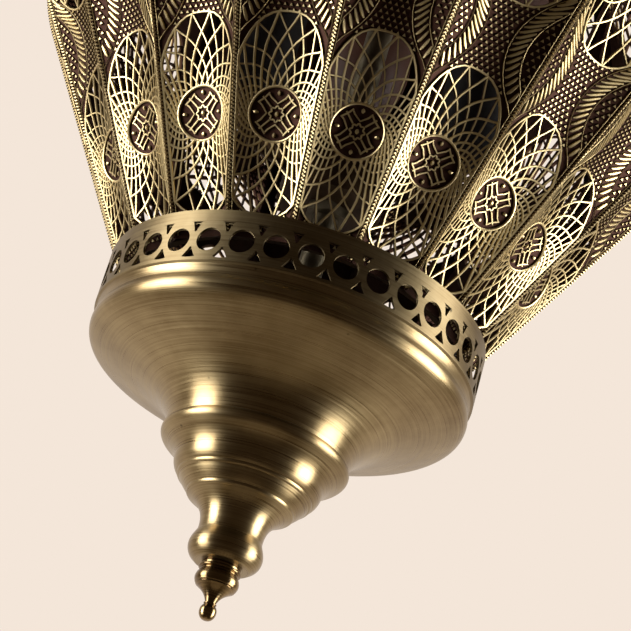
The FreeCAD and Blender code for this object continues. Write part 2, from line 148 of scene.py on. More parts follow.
# ---- materials ----
def add(tree, kind, inputs, stops=(), **settings):
    """Adds a node: its properties, its inputs' values or links, and a ramp's (position, colour) stops."""
    made = tree.nodes.new(kind)
    for key, value in settings.items():
        setattr(made, key, value)
    for key, value in inputs.items():
        if isinstance(value, bpy.types.NodeSocket):
            tree.links.new(value, made.inputs[key])
        else:
            made.inputs[key].default_value = value
    for index, (position, colour) in enumerate(stops):
        if index == len(made.color_ramp.elements):
            made.color_ramp.elements.new(1.0)
        stop = made.color_ramp.elements[index]
        stop.position = position
        if isinstance(colour, str):
            stop.color = srgb(colour)
        else:
            stop.color = (colour, colour, colour, 1.0) if isinstance(colour, float) else colour
    return made


def per_metre(millimetres):
    """Scale of a pattern whose features are this far apart."""
    return 1.0 / (millimetres * MM)


def new_material(name):
    made = bpy.data.materials.new(name)
    made.use_nodes = True
    tree = made.node_tree
    place = add(tree, "ShaderNodeTexCoord", {}).outputs["Object"]
    return made, tree, tree.nodes["Principled BSDF"], place


LATHE_LINE = 0.45              # mm from one brush line to the next
LINE_TURNS = 18.0              # how often the lines break up round the axis, per metre
PATINA = 26.316                # mm across a cloud of the lacquer
PIT_SPACING = 14.286           # mm between casting pits
CAST_CLOUD = 6.25              # mm across a patch of wear on the petals
CAST_GRAIN = 1.1111            # mm between grains of the casting
GRAINS_IN_PATCH = 14
MATT_EDGE = (-9.5, -8.0)       # heights from the hole ring over which the cap turns matt
BUMP_REACH = 0.4               # mm, height of the lathe lines
GRAIN_REACH = 0.3              # mm, height of cast or plated grain


def brush_lines(tree, place):
    """Noise drawn out round the lantern's axis, as the marks of a lathe are."""
    parts = add(tree, "ShaderNodeSeparateXYZ", {0: place}).outputs
    flat = add(tree, "ShaderNodeCombineXYZ", {"X": parts["X"], "Y": parts["Y"]}).outputs[0]
    radius = add(tree, "ShaderNodeVectorMath", {0: flat}, operation="LENGTH").outputs["Value"]
    fine = per_metre(LATHE_LINE)
    across = add(tree, "ShaderNodeMath", {0: radius, 1: fine}, operation="MULTIPLY").outputs[0]
    up = add(tree, "ShaderNodeMath", {0: parts["Z"], 1: fine}, operation="MULTIPLY").outputs[0]
    stretch = (LINE_TURNS, LINE_TURNS, LINE_TURNS)
    drawn = add(tree, "ShaderNodeVectorMath", {0: flat, 1: stretch}, operation="MULTIPLY").outputs[0]
    split = add(tree, "ShaderNodeSeparateXYZ", {0: drawn}).outputs
    vector = add(tree, "ShaderNodeCombineXYZ", {"X": split["X"], "Y": split["Y"], "Z": across}).outputs[0]
    noise = add(tree, "ShaderNodeTexNoise", {"Vector": vector, "W": up, "Scale": 1.0, "Detail": 3.0,
                                             "Roughness": 0.6}, noise_dimensions="4D")
    return noise.outputs["Fac"]


def matt_mask(tree, place):
    """One above the bowl's groove, where the pierced band is left unpolished, and zero below."""
    height = add(tree, "ShaderNodeSeparateXYZ", {0: place}).outputs["Z"]
    low, high = MATT_EDGE
    return add(tree, "ShaderNodeMapRange", {"Value": height, "From Min": (GALLERY + low) * MM,
                                            "From Max": (GALLERY + high) * MM}).outputs[0]


def spun_brass(name, dark, light, roughness, line_bump=0.12):
    """Spun and brushed: lathe lines, a clouded patina, a few pits, and a matt band above the groove."""
    made, tree, shader, place = new_material(name)
    lines = brush_lines(tree, place)
    cloud = add(tree, "ShaderNodeTexNoise", {"Vector": place, "Scale": per_metre(PATINA), "Detail": 5.0,
                                             "Roughness": 0.6}).outputs["Fac"]
    both = add(tree, "ShaderNodeMath", {0: lines, 1: cloud}, operation="ADD").outputs[0]
    half = add(tree, "ShaderNodeMath", {0: both, 1: 0.5}, operation="MULTIPLY").outputs[0]
    tone = add(tree, "ShaderNodeValToRGB", {"Fac": half}, [(0.36, dark), (0.62, light)]).outputs[0]
    cells = {"Vector": place, "Scale": per_metre(PIT_SPACING)}
    pits = add(tree, "ShaderNodeTexVoronoi", cells).outputs["Distance"]
    pitted = add(tree, "ShaderNodeValToRGB", {"Fac": pits}, [(0.02, 0.2), (0.06, 1.0)]).outputs[0]
    matt = matt_mask(tree, place)
    dull = add(tree, "ShaderNodeValToRGB", {"Fac": matt}, [(0.0, 1.0), (1.0, 0.6)]).outputs[0]
    shade = add(tree, "ShaderNodeVectorMath", {0: dull, 1: pitted}, operation="MULTIPLY").outputs[0]
    colour = add(tree, "ShaderNodeVectorMath", {0: tone, 1: shade}, operation="MULTIPLY").outputs[0]
    tree.links.new(colour, shader.inputs["Base Color"])
    brushed = add(tree, "ShaderNodeValToRGB", {"Fac": lines},
                  [(0.3, roughness - 0.06), (0.7, roughness + 0.08)]).outputs[0]
    duller = add(tree, "ShaderNodeMath", {0: matt, 1: 0.14}, operation="MULTIPLY").outputs[0]
    rough = add(tree, "ShaderNodeMath", {0: brushed, 1: duller}, operation="ADD").outputs[0]
    tree.links.new(rough, shader.inputs["Roughness"])
    shader.inputs["Metallic"].default_value = 1.0
    shader.inputs["Anisotropic"].default_value = 0.7
    shader.inputs["Anisotropic Rotation"].default_value = 0.25      # glints spread across the lathe lines
    along = add(tree, "ShaderNodeTangent", {}, direction_type="RADIAL", axis="Z").outputs[0]
    tree.links.new(along, shader.inputs["Tangent"])
    bump = add(tree, "ShaderNodeBump", {"Height": lines, "Strength": line_bump, "Distance": BUMP_REACH * MM})
    tree.links.new(bump.outputs[0], shader.inputs["Normal"])
    return made


def relieved_brass_with_painted_light(settings):
    """Cast brass, blackened and rubbed: pale with painted highlight where proud, brown black with painted
    shade in recesses.
    """
    made, tree, shader, place = new_material("relieved antique brass with painted light")
    proud = add(tree, "ShaderNodeAttribute", {}, attribute_name="proud").outputs["Fac"]
    cloud = add(tree, "ShaderNodeTexNoise", {"Vector": place, "Scale": per_metre(CAST_CLOUD),
                                             "Detail": 4.0}).outputs["Fac"]
    centred = add(tree, "ShaderNodeMath", {0: cloud, 1: 0.5}, operation="SUBTRACT").outputs[0]
    shift = add(tree, "ShaderNodeMath", {0: centred, 1: 0.3}, operation="MULTIPLY").outputs[0]
    wear_and_painted_light = add(tree, "ShaderNodeMath", {0: proud, 1: shift}, operation="ADD").outputs[0]
    # painted light: the relief's height makes the recesses dark as painted shade and the tops pale as painted
    # highlight, besides the real blackening and rubbing
    stops = [(0.22, settings.blackened_and_shaded_recess), (0.55, settings.middle), (0.85, settings.proud)]
    colour = add(tree, "ShaderNodeValToRGB", {"Fac": wear_and_painted_light}, stops).outputs[0]
    tree.links.new(colour, shader.inputs["Base Color"])
    rough = add(tree, "ShaderNodeValToRGB", {"Fac": wear_and_painted_light}, [(0.3, 0.62), (0.85, 0.42)]).outputs[0]
    tree.links.new(rough, shader.inputs["Roughness"])
    metal = add(tree, "ShaderNodeValToRGB", {"Fac": wear_and_painted_light}, [(0.2, 0.88), (0.5, 1.0)]).outputs[0]
    tree.links.new(metal, shader.inputs["Metallic"])
    grain = add(tree, "ShaderNodeTexNoise", {"Vector": place, "Scale": per_metre(CAST_GRAIN),
                                             "Detail": 3.0}).outputs["Fac"]
    bump = add(tree, "ShaderNodeBump", {"Height": grain, "Strength": 0.25, "Distance": GRAIN_REACH * MM})
    tree.links.new(bump.outputs[0], shader.inputs["Normal"])
    return made


def clouded(name, dark, light, metallic, roughness, patch, **sockets):
    """A plain finish with a real one's variation, in patches of the given size in mm, and fine grain."""
    made, tree, shader, place = new_material(name)
    cloud = add(tree, "ShaderNodeTexNoise", {"Vector": place, "Scale": per_metre(patch),
                                             "Detail": 5.0}).outputs["Fac"]
    colour = add(tree, "ShaderNodeValToRGB", {"Fac": cloud}, [(0.3, dark), (0.7, light)]).outputs[0]
    tree.links.new(colour, shader.inputs["Base Color"])
    rough = add(tree, "ShaderNodeValToRGB", {"Fac": cloud},
                [(0.3, roughness - 0.06), (0.7, roughness + 0.06)]).outputs[0]
    tree.links.new(rough, shader.inputs["Roughness"])
    shader.inputs["Metallic"].default_value = metallic
    grain = add(tree, "ShaderNodeTexNoise", {"Vector": place, "Scale": per_metre(patch / GRAINS_IN_PATCH),
                                             "Detail": 2.0}).outputs["Fac"]
    bump = add(tree, "ShaderNodeBump", {"Height": grain, "Strength": 0.1, "Distance": GRAIN_REACH * MM})
    tree.links.new(bump.outputs[0], shader.inputs["Normal"])
    for key, value in sockets.items():
        shader.inputs[key.replace("_", " ")].default_value = value
    return made


FINISHES = {}


def finish_of(key):
    """Material for one of the lantern's finishes, made the first time that it is asked for."""
    petals = bpy.context.scene.lantern_petals
    caps = bpy.context.scene.lantern_caps
    makers = {
        # cast petals: black brown ground with painted shade, and gold with painted highlight where the relief
        # stands proud and hands have rubbed
        "filigree": lambda: relieved_brass_with_painted_light(petals),
        # spun caps: olive brass with fine rings, glints drawn up and down across the brush lines
        "cap": lambda: spun_brass("brushed antique brass", caps.dark, caps.light, 0.31),
        # finial and washer: turned, so smoother, darker and glossier than the caps
        "finial": lambda: spun_brass("dark turned bronze", caps.finial_dark, caps.finial_light, 0.20, 0.03),
        # chain and loops: drawn wire and cast rings, darkened in patches
        "chain": lambda: clouded("antique brass wire", "4E3E28", "94805A", 1.0, 0.33, 11.111),
        # parts inside the shade: tarnished and dull, and darkened further as painted shade so that they stay
        # dark behind the filigree
        "inner": lambda: clouded("tarnished brass with painted shade", "33241A", "66503A", 1.0, 0.48, 22.222),
        # threaded rod, nuts, nipple, bracket and spider: dull plating with a brown film
        "steel": lambda: clouded("zinc plated steel", "57503F", "857A64", 1.0, 0.45, 8.3333),
        # holders and connector block: moulded, with a soft low sheen
        "phenolic": lambda: clouded("moulded black phenolic", "0D0806", "1A110D", 0.0, 0.65, 14.286,
                                    Specular_IOR_Level=0.25),
        # bulbs: etched glass over an amber coat, which lets little through when unlit
        "glass": lambda: clouded("amber frosted glass", "4A2818", "633A24", 0.0, 0.6, 25.0,
                                 Transmission_Weight=0.35, Specular_IOR_Level=0.2),
        # bulb bases: rolled nickel, bright in small patches
        "base": lambda: clouded("nickel lamp base", "9B968C", "CBC6BC", 1.0, 0.25, 6.6667),
    }
    if key not in FINISHES:
        FINISHES[key] = makers[key]()
    return FINISHES[key]


# ---- making pieces ----
def finish_piece(name, mesh, finish, body, slot, *nodes):
    """Gives a mesh its object, material and body, and hides the CAD nodes that it stands for. The slot is not
    used.
    """
    if not mesh.polygons:
        raise RuntimeError("%s came out with no faces" % name)
    piece = bpy.data.objects.new(name, mesh)
    bpy.context.scene.collection.objects.link(piece)
    mesh.materials.clear()
    mesh.materials.append(finish_of(finish))
    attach(piece, body)
    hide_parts(*nodes)
    return piece


def dress(finish, *nodes):
    """Gives CAD nodes that keep their own shape a finish."""
    for node in nodes:
        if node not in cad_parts:
            raise RuntimeError("the frame has no node %s" % node)
        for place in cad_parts[node].material_slots:
            place.material = finish_of(finish)


def to_mesh(bm, name, sharp_degrees=32.0):
    """Mesh of a bmesh, smooth except at edges sharper than the given angle."""
    mesh = bpy.data.meshes.new(name)
    bm.to_mesh(mesh)
    bm.free()
    mesh.shade_smooth()
    mesh.set_sharp_from_angle(angle=math.radians(sharp_degrees))
    return mesh


def smooth_run(points, pieces=6):
    """Points of a smooth curve through the given ones."""
    if len(points) == 2:
        return list(points)
    vectors = [Vector((*p, 0)) for p in points]
    tangents = [vectors[min(i + 1, len(vectors) - 1)] - vectors[max(i - 1, 0)] for i in range(len(vectors))]
    tangents[0] = vectors[1] - vectors[0]
    tangents[-1] = vectors[-1] - vectors[-2]
    made = []
    for i in range(len(vectors) - 1):
        a, b = vectors[i], vectors[i + 1]
        reach = (b - a).length / 3
        leave = a + tangents[i].normalized() * reach
        arrive = b - tangents[i + 1].normalized() * reach
        curve = bezier(a, leave, arrive, b, pieces)
        made += curve if not made else curve[1:]
    return [(p.x, p.y) for p in made]


def bezier(a, b, c, d, pieces):
    """Points of a cubic curve from a to d, both ends included."""
    made = []
    for i in range(pieces + 1):
        t = i / pieces
        u = 1 - t
        made.append(a * u ** 3 + b * 3 * u * u * t + c * 3 * u * t * t + d * t ** 3)
    return made


def outline_of(runs, base, pieces=6):
    """Outline in metres from runs of (r, z) in mm. Every run is smooth, and runs meet in a crease."""
    made = []
    for run in runs:
        points = smooth_run(run, pieces)
        made += points if not made else points[1:]
    return [(r * MM, (base + z) * MM) for r, z in made]


def spin_outline(bm, outline, steps, start=0.0):
    """Turns an outline of (r, z) about the lantern's axis, from the start azimuth on."""
    verts = [bm.verts.new((r * math.sin(start), -r * math.cos(start), z)) for r, z in outline]
    edges = [bm.edges.new(pair) for pair in zip(verts, verts[1:])]
    bmesh.ops.spin(bm, geom=verts + edges, cent=(0, 0, 0), axis=(0, 0, 1), angle=math.tau, steps=steps,
                   use_merge=True)
    bmesh.ops.remove_doubles(bm, verts=bm.verts, dist=1e-6)


def lathe(name, runs, base, steps=96, pieces=6):
    """Turned solid piece."""
    bm = bmesh.new()
    spin_outline(bm, outline_of(runs, base, pieces), steps)
    bmesh.ops.recalc_face_normals(bm, faces=bm.faces)
    return to_mesh(bm, name)


def wires(paths, radius, resolution=1):
    """Round wires along (points, closed) paths. A point is (x, y, z), or (x, y, z, share of the radius)."""
    curve = bpy.data.curves.new("wires", "CURVE")
    curve.dimensions = "3D"
    curve.bevel_depth = radius
    curve.bevel_resolution = resolution
    curve.use_fill_caps = True
    for points, closed in paths:
        spline = curve.splines.new("POLY")
        spline.points.add(len(points) - 1)
        spline.points.foreach_set("co", [c for p in points for c in (p[0], p[1], p[2], 1.0)])
        spline.points.foreach_set("radius", [p[3] if len(p) > 3 else 1.0 for p in points])
        spline.use_cyclic_u = closed
    holder = bpy.data.objects.new("wires", curve)
    bpy.context.scene.collection.objects.link(holder)
    mesh = bpy.data.meshes.new_from_object(holder)
    bpy.data.objects.remove(holder)
    bpy.data.curves.remove(curve)
    return mesh


# ---- petals ----
def valley(s):
    """Radius, height and normal of a petal's middle line, s mm from its foot."""
    if s <= CONE_LENGTH:
        return FOOT_R + FLARE * s / SLANT, FOOT_Z + s / SLANT, CONE_NORMAL[0], CONE_NORMAL[1]
    a = DOME_START + (s - CONE_LENGTH) / DOME_R
    nr, nz = math.cos(a), math.sin(a)
    return DOME_CENTRE[0] + DOME_R * nr, DOME_CENTRE[1] + DOME_R * nz, nr, nz


def flute_depth(s):
    """How far the ridges stand above the petal's middle line at s, in mm."""
    r, _, nr, _ = valley(s)
    k = 2 * FLUTE * math.tan(HALF_PETAL)
    return k * r / (1 - k * nr)


def half_width(s):
    """Half of a petal's width at s, in mm."""
    r, _, nr, _ = valley(s)
    return math.tan(HALF_PETAL) * (r + flute_depth(s) * nr)


def place_on_petal(x, s, h):
    """Point in metres of the front petal for x across, s along and h above its face, in mm."""
    r, z, nr, nz = valley(s)
    depth = flute_depth(s)
    half = half_width(s)
    t = x / half
    tilt = math.atan(2 * depth * t / half)
    out = depth * t * t + h * math.cos(tilt)
    across = (x - h * math.sin(tilt)) / half
    radius = r + out * nr
    return Vector((across * math.tan(HALF_PETAL) * radius, -radius, GALLERY + z + out * nz)) * MM


BEAD_HEIGHT = 0.8
BEAD_TOP = 0.62                # radius of a bead's flat top
LATTICE_PIECES = 9             # straight pieces in a lattice ray
LATTICE_SWEEP = 2.7            # how far a ray leans sideways, in ray spacings
OVAL_POINTS = 72
RING_POINTS = 56
SCALLOP_POINTS = 48
LINE_POINTS = 110
FIRST_S = 0.4                  # nearest that a line comes to the petal's foot
OVAL_WIRE = 0.5                # wire radii of the relief
RING_WIRE = 0.55
MEDALLION_WIRE = 0.40
DOT_WIRE = 0.75
FEATHER_WIRE = 0.62
LINE_WIRE = 0.22
ROPE_WIRE = 0.52
FEATHER_WIDTH = 6.2            # across a band of feather strokes
FEATHER_RISE = 4.6             # how far a stroke climbs along the petal
FEATHER_SHARES = (0.55, 1.0, 1.0, 0.9, 0.5)     # thickness along a stroke
DOT_REACH = 7.4                # medallion's centre to its outer dots
PLATE_ROWS = 132
PLATE_COLUMNS = 5
GROUND_RINGS = 6               # rings and sectors of the sheet behind a medallion
GROUND_STEPS = 36
PROUD_RANGE = 0.35             # relief is rubbed bright, with a painted highlight, from this far above the lines' centres
SHEET_UNDER = 0.35             # thickness of the dark sheet of painted shade between the ovals
MEDALLION_S = 43.7             # foot to the first medallion, along the petal
OVAL_WIDTH = 16.6              # half width and half height of the first lattice oval
OVAL_HEIGHT = 36.0
OVAL_POWER = 2.6
OVALS = [(MEDALLION_S, 1.0), (151.7, 1.25), (263.0, 1.06)]
EDGE_MARGIN = 1.5              # from a ridge to the nearest oval or line
PLATE_H = -0.95                # face of the dark sheet of painted shade under the relief
RELIEF_H = -0.55               # centre height of the raised lines
KEEL = 3.2                     # how far a lattice line is drawn inwards below its centre, in radii


def oval_point(angle, scale, centre):
    """Point (x, s) of a lattice oval's outline, for an angle from straight up."""
    sx, cy = math.sin(angle), math.cos(angle)
    a, b = OVAL_WIDTH * scale, OVAL_HEIGHT * scale
    reach = (abs(sx / a) ** OVAL_POWER + abs(cy / b) ** OVAL_POWER) ** (-1 / OVAL_POWER)
    x, s = sx * reach, centre + cy * reach
    limit = half_width(max(s, 0.0)) - EDGE_MARGIN
    return max(-limit, min(limit, x)), s


def oval_half_width(s):
    """Half width of the lattice oval at s, and zero between ovals."""
    for centre, scale in OVALS:
        y = abs(s - centre) / (OVAL_HEIGHT * scale)
        if y < 1:
            x = OVAL_WIDTH * scale * (1 - y ** OVAL_POWER) ** (1 / OVAL_POWER)
            return min(x, half_width(s) - EDGE_MARGIN)
    return 0.0


def lattice_paths(centre, scale, settings):
    """Two hands of curved rays between the medallion's ring and the oval's outline."""
    paths = []
    ring = settings.medallion_r / MM * scale + 0.3
    step = math.tau / settings.lattice_rays
    for hand in (-1, 1):
        for i in range(settings.lattice_rays):
            points = []
            for j in range(LATTICE_PIECES + 1):
                u = (1 - j / LATTICE_PIECES) ** 1.25
                angle = (i + 0.5) * step + hand * step * LATTICE_SWEEP * (1 - u) ** 1.3
                ox, os = oval_point(angle, scale, centre)
                ix, iy = ring * math.sin(angle), centre + ring * math.cos(angle)
                x, s = ix + (ox - ix) * u, iy + (os - iy) * u
                points.append((x, max(s, FIRST_S), RELIEF_H - 0.12 * hand))
            paths.append((points, False))
    return paths


def oval_outline_path(centre, scale):
    """Rim of a lattice oval."""
    points = []
    for i in range(OVAL_POINTS):
        x, s = oval_point(math.tau * i / OVAL_POINTS, scale, centre)
        points.append((x, max(s, FIRST_S), RELIEF_H))
    return points, True


def ring_path(centre, radius):
    """Circle round a medallion."""
    angles = [math.tau * i / RING_POINTS for i in range(RING_POINTS)]
    return [(radius * math.sin(a), centre + radius * math.cos(a), RELIEF_H + 0.05) for a in angles], True


def medallion_paths(centre, scale):
    """Relief inside a medallion: a scalloped ring, four chevrons and diagonal bars."""
    paths = []
    scallop = []
    for i in range(SCALLOP_POINTS):
        a = math.tau * i / SCALLOP_POINTS
        reach = (2.5 + 0.35 * math.cos(8 * a)) * scale
        scallop.append((reach * math.sin(a), centre + reach * math.cos(a), RELIEF_H))
    paths.append((scallop, True))

    def turned(points, quarter):
        a = quarter * math.pi / 2
        return [(scale * (x * math.cos(a) - y * math.sin(a)),
                 centre + scale * (x * math.sin(a) + y * math.cos(a)), RELIEF_H) for x, y in points]

    for quarter in range(4):
        paths.append((turned([(-3.4, 6.6), (-2.6, 5.6), (0, 3.7), (2.6, 5.6), (3.4, 6.6)], quarter), False))
        paths.append((turned([(2.3, 2.3), (4.2, 4.2), (5.7, 5.7)], quarter), False))
        paths.append((turned([(3.4, 7.2), (5.1, 5.1), (7.2, 3.4)], quarter), False))
    return paths


def lens_path(x, s, length, h, lean=0.0):
    """Short stroke, thick in the middle."""
    dx, ds = math.sin(lean) * length / 2, math.cos(lean) * length / 2
    return [(x - dx, s - ds, h, 0.35), (x - dx / 2, s - ds / 2, h, 0.9), (x, s, h, 1.0),
            (x + dx / 2, s + ds / 2, h, 0.9), (x + dx, s + ds, h, 0.35)], False


def feather_lines(s):
    """Inner and outer edge, in mm across, of the feather band at s."""
    nearest = min(abs(s - gap) for gap in feather_gaps())
    edge = half_width(s) - EDGE_MARGIN
    inner = max(5.9 + 0.022 * nearest ** 2, oval_half_width(s) + 0.9)
    outer = inner + FEATHER_WIDTH
    return min(inner, edge), min(outer, edge)


def feather_gaps():
    """Middles of the stretches between two ovals."""
    ends = [(centre - OVAL_HEIGHT * scale, centre + OVAL_HEIGHT * scale) for centre, scale in OVALS]
    gaps = [(low[1] + high[0]) / 2 for low, high in zip(ends, ends[1:])]
    return gaps + [ends[-1][1] + 18.0]


def feather_paths(settings):
    """Leaning strokes, thick and short, on both sides of the petal."""
    strokes = []
    s = 4.0
    while s < PETAL_LENGTH - FEATHER_RISE - 1:
        inner, _ = feather_lines(s)
        _, outer = feather_lines(s + FEATHER_RISE)
        if outer - inner > 1.6:
            for side in (-1, 1):
                a, b = inner + 0.7, outer - 0.6
                points = []
                for j, share in enumerate(FEATHER_SHARES):
                    t = j / (len(FEATHER_SHARES) - 1)
                    up = s + FEATHER_RISE * t ** 1.2
                    points.append((side * (a + (b - a) * t), up, RELIEF_H + 0.05, share))
                strokes.append((points, False))
        s += settings.feather_pitch / MM
    return strokes


def line_paths():
    """Fine lines along both edges of the feather bands, and beside the ridges."""
    paths = []
    for side in (-1, 1):
        inner, outer, border = [], [], []
        for i in range(LINE_POINTS):
            s = 1.0 + (PETAL_LENGTH - 2.0) * i / (LINE_POINTS - 1)
            low, high = feather_lines(s)
            inner.append((side * low, s, RELIEF_H))
            outer.append((side * high, s, RELIEF_H))
            border.append((side * (half_width(s) - EDGE_MARGIN), s, RELIEF_H))
        paths += [(inner, False), (outer, False), (border, False)]
    return paths


def field_beads(settings):
    """Centres (x, s) of the small raised triangles in the fields."""
    beads = []
    pitch = settings.bead_pitch / MM
    row = 0
    s = 3.0
    while s < PETAL_LENGTH - 2:
        inner, outer = feather_lines(s)
        edge = half_width(s) - 2.0
        hollow = oval_half_width(s)
        columns = int(edge / pitch) + 1
        for i in range(-columns, columns + 1):
            x = (i + 0.5 * (row % 2)) * pitch
            inside = hollow + 1.2 < abs(x) < inner - 0.8 or (hollow == 0 and abs(x) < inner - 0.8)
            outside = max(outer, hollow) + 0.9 < abs(x) < edge
            if inside or outside:
                beads.append((x, s))
        s += pitch * 0.8
        row += 1
    return beads


def bead_mesh(bm, settings):
    """Small blunt pyramids with three sides."""
    size = settings.bead_pitch / MM * 0.43
    for x, s in field_beads(settings):
        made = bmesh.ops.create_cone(bm, cap_ends=True, segments=3, radius1=size, radius2=BEAD_TOP,
                                     depth=BEAD_HEIGHT)
        bmesh.ops.translate(bm, verts=made["verts"], vec=(x, s, PLATE_H + BEAD_HEIGHT / 2))


def rope_paths(settings):
    """Slanting turns of a twisted cord over both of the petal's ridges."""
    turns = []
    s = 1.5
    while s < PETAL_LENGTH - 1.5:
        edge = half_width(s)
        turns.append(([(edge - 1.25, s - 0.9, -1.0, 0.5), (edge - 0.55, s - 0.4, -0.78, 1.0),
                       (edge - 0.02, s, -0.66, 1.0)], False))
        s += settings.rope_pitch / MM
    mirrored = [([(-x, s + 1.0, h, share) for x, s, h, share in points], False) for points, _ in turns]
    return turns + mirrored


def shade_sheet_mesh(bm):
    """Dark sheet of painted shade between the ovals and the ridges, as two thin halves, where the real field
    is pierced.
    """
    for side in (-1, 1):
        made = bmesh.ops.create_grid(bm, x_segments=PLATE_COLUMNS, y_segments=PLATE_ROWS, size=1.0)
        for vert in made["verts"]:
            s = (vert.co.y + 1) / 2 * PETAL_LENGTH
            start = oval_half_width(s)
            share = (vert.co.x + 1) / 2
            edge = half_width(s)
            vert.co = (side * (start + (edge - start) * share), s, PLATE_H)


def medallion_ground(bm, centre, radius):
    """Round sheet behind a medallion's relief, in rings so that it can follow the petal's curve."""
    rim = [bm.verts.new((radius * k / GROUND_RINGS, centre, PLATE_H)) for k in range(GROUND_RINGS + 1)]
    spokes = [bm.edges.new(pair) for pair in zip(rim, rim[1:])]
    bmesh.ops.spin(bm, geom=rim + spokes, cent=(0, centre, 0), axis=(0, 0, 1), angle=math.tau,
                   steps=GROUND_STEPS, use_merge=True)


def petal_bmesh(settings):
    """The front petal's filigree, laid out flat in mm."""
    bm = bmesh.new()
    # the dark sheet closes the pierced field as painted shade
    shade_sheet_mesh(bm)
    bmesh.ops.remove_doubles(bm, verts=bm.verts, dist=1e-4)
    bmesh.ops.recalc_face_normals(bm, faces=bm.faces)
    bmesh.ops.solidify(bm, geom=list(bm.faces), thickness=-SHEET_UNDER)
    bead_mesh(bm, settings)
    groups = []
    for centre, scale in OVALS:
        groups.append((lattice_paths(centre, scale, settings), settings.lattice_wire / MM, 1, KEEL))
        groups.append(([oval_outline_path(centre, scale)], OVAL_WIRE, 1, KEEL))
        groups.append(([ring_path(centre, settings.medallion_r / MM * scale)], RING_WIRE, 2, KEEL))
        groups.append((medallion_paths(centre, scale), MEDALLION_WIRE, 1, 1))
        reach = DOT_REACH * scale
        dots = [lens_path(0, centre + q * reach, 1.7, RELIEF_H) for q in (-1, 1)]
        dots += [lens_path(q * reach, centre, 1.7, RELIEF_H, math.pi / 2) for q in (-1, 1)]
        dots.append(lens_path(0, centre, 1.8, RELIEF_H + 0.1))
        groups.append((dots, DOT_WIRE, 1, 1))
    groups.append((feather_paths(settings), FEATHER_WIRE, 1, 1))
    groups.append((line_paths(), LINE_WIRE, 0, 1))
    groups.append((rope_paths(settings), ROPE_WIRE, 1, 1))
    for paths, radius, resolution, keel in groups:
        mesh = wires(paths, radius, resolution)
        for vert in mesh.vertices:
            if vert.co.z < RELIEF_H:
                vert.co.z = RELIEF_H + (vert.co.z - RELIEF_H) * keel
        bm.from_mesh(mesh)
        bpy.data.meshes.remove(mesh)
    for centre, scale in OVALS:
        medallion_ground(bm, centre, settings.medallion_r / MM * scale)
    return bm


def petal_mesh(settings):
    """Front petal in place. Its attribute "proud" says how far each point stands above the ground."""
    bm = petal_bmesh(settings)
    proud = bm.verts.layers.float.new("proud")
    for vert in bm.verts:
        x, s, h = vert.co
        vert[proud] = max(0.0, min(1.0, (h - PLATE_H) / (RELIEF_H + PROUD_RANGE - PLATE_H)))
        vert.co = place_on_petal(x, s, h)
    return to_mesh(bm, "filigree", 40.0)


class LANTERN_OT_petals(bpy.types.Operator):
    """Make the filigree petals"""
    bl_idname = "lantern.petals"
    bl_label = "Filigree petals"

    def execute(self, context):
        master = petal_mesh(context.scene.lantern_petals)
        for i in range(PETALS):
            mesh = master.copy()
            mesh.transform(Matrix.Rotation(math.tau * i / PETALS, 4, "Z"))
            node = "petal_%02d" % (i + 1)
            finish_piece("filigree_%s" % node, mesh, "filigree", "lantern", "filigree_brass", node)
        bpy.data.meshes.remove(master)
        return {"FINISHED"}


# ---- bottom cap and finial ----
BAND_FOOT = -8.0
GALLERY_TURN = math.radians(-2.0)       # azimuth of the first hole
CELL_STEPS = 6                          # edges of the bowl under one hole
TRIANGLE_ROWS = ((-5.0, -1), (5.0, 1))  # height of each row of triangles, and which way up it is
RIM_INSET = 0.12                        # rolled edges sit this far inside the band's face
RIM_WIRE = 0.16
BOWL_RUNS = [
    [(BAND_R, BAND_FOOT), (70.2, -8.5)],
    [(70.2, -8.5), (69.5, -10.6), (69.5, -12.6), (69.9, -13.9)],
    [(69.9, -13.9), (70.3, -14.6), (70.45, -15.8), (70.1, -17.2), (69.3, -18.2), (68.2, -19.0)],
    [(68.2, -19.0), (65.5, -20.4), (62, -22.0), (56, -24.6), (50, -27.2), (44.6, -30.0), (40.2, -33.0),
     (36.8, -36.4), (34.4, -40.0), (33.0, -43.0), (32.4, -44.8)],
    [(32.4, -44.8), (33.3, -45.2), (34.0, -45.9), (34.2, -46.7), (33.8, -47.6), (32.8, -48.5), (30.9, -49.8),
     (29.2, -51.3), (27.8, -53.0), (26.9, -54.8)],
    [(26.9, -54.8), (26.6, -56.3), (26.0, -58.0), (24.9, -59.4), (23.9, -60.0)],
    [(23.9, -60.0), (24.2, -60.3), (24.1, -60.7), (23.5, -61.0)],
    [(23.5, -61.0), (22.4, -62.4), (20.9, -64.1), (19.6, -65.3), (18.8, -65.9)],
    [(18.8, -65.9), (19.1, -66.2), (19.0, -66.5), (18.4, -66.8)],
    [(18.4, -66.8), (16.4, -68.1), (14.5, -69.6), (13.0, -71.3), (11.9, -73.4), (11.2, -76), (11.0, -78.6),
     (11.1, -80.2)],
    [(11.1, -80.2), (11.7, -81.6), (12.5, -83.6), (12.8, -85.4), (12.5, -87.2), (11.6, -88.7), (10.5, -89.6)],
    [(10.5, -89.6), (9.8, -90), (5.2, -90)],
]


def rounded_triangle(x, z, flip):
    """Outline of a rounded triangle in mm, base away from the row of holes."""
    base, height, corner = 5.6, 4.0, 0.6
    side, top = base / 2 - corner, height / 2 - corner * 0.7
    tips = [(-side, top, 90), (side, top, -30), (0, corner * 1.2 - height / 2, -150)]
    points = []
    for tip_x, tip_z, start in tips:
        for k in range(4):
            a = math.radians(start + 30 * (1.5 - k))
            points.append((tip_x + corner * math.cos(a), tip_z + corner * math.sin(a)))
    ordered = sorted(points, key=lambda p: math.atan2(p[1], p[0]))
    return [(x + px, z + flip * pz) for px, pz in ordered]


